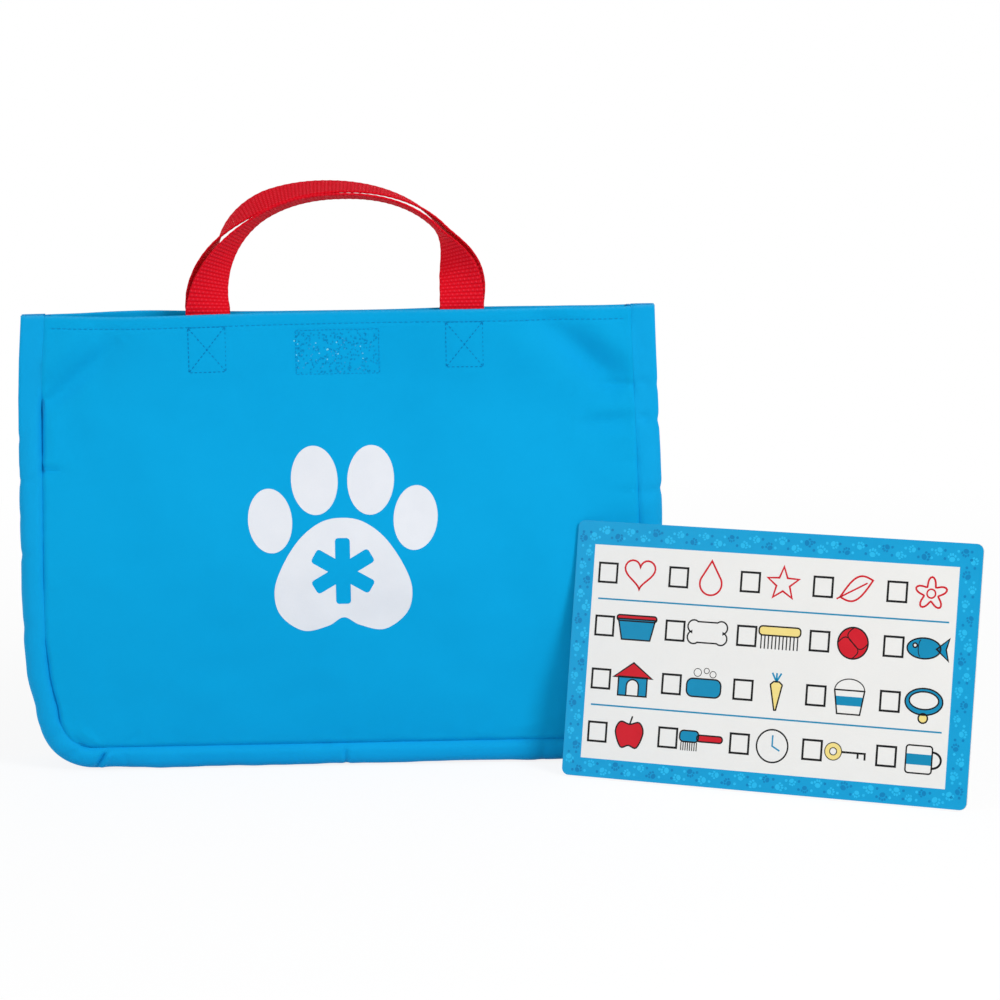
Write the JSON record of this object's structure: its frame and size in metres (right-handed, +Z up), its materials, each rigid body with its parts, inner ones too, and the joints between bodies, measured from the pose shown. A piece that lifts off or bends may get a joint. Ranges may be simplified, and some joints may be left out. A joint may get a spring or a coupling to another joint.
{
  "type": "toy vet kit",
  "caption": "Fabric tote bag for a toy vet kit, with webbing handles, a side and bottom gusset and a hook-and-loop mouth, and a laminated picture checklist card that leans on its front.",
  "frame": {"origin": "on the floor in the middle of the flat bottom of the bag", "axes": "+Z up, +X to the right of someone facing the front of the bag, the front faces -Y"},
  "size_m": [0.5276, 0.185, 0.3305],
  "materials": {
    "bag_cloth": "matt woven",
    "seam_binding": "matt woven tape",
    "webbing": "ribbed webbing",
    "hook_tape": "hook pile",
    "loop_tape": "loop pile",
    "card_board": "printed",
    "card_film": "clear gloss laminate over print"
  },
  "bodies": {
    "bag": {"front_panel": "bag_cloth", "front_hem": "bag_cloth", "gusset_left": "bag_cloth", "gusset_right": "bag_cloth", "gusset_bottom": "bag_cloth", "front_seam_binding": "seam_binding", "hook_patch": "hook_tape", "front_tab_left": "webbing", "front_tab_right": "webbing"},
    "back_wall": {"back_panel": "bag_cloth", "back_hem": "bag_cloth", "back_seam_binding": "seam_binding", "loop_patch": "loop_tape", "back_tab_left": "webbing", "back_tab_right": "webbing"},
    "front_handle": {"front_handle_strap": "webbing"},
    "back_handle": {"back_handle_strap": "webbing"},
    "card": {"card_board": "card_board", "card_front_film": "card_film", "card_back_film": "card_film"}
  },
  "joints": [
    {"name": "mouth_open", "type": "hinge", "parent": "bag", "child": "back_wall", "pos_m": [0, 0.025, 0.0135], "axis": [-1, 0, 0], "range_deg": [0, 10], "deforming": ["gusset_left", "gusset_right"]},
    {"name": "front_handle_fold", "type": "hinge", "parent": "bag", "child": "front_handle", "pos_m": [0, -0.0082, 0.2595], "axis": [1, 0, 0], "range_deg": [0, 150], "stiffness_Nm_per_rad": 0.004},
    {"name": "back_handle_fold", "type": "hinge", "parent": "back_wall", "child": "back_handle", "pos_m": [0, 0.0082, 0.2595], "axis": [-1, 0, 0], "range_deg": [0, 150], "stiffness_Nm_per_rad": 0.004},
    {"name": "card_lift", "type": "slide", "parent": "bag", "child": "card", "axis": [0, 0, 1], "range_m": [0, 0.3]}
  ]
}
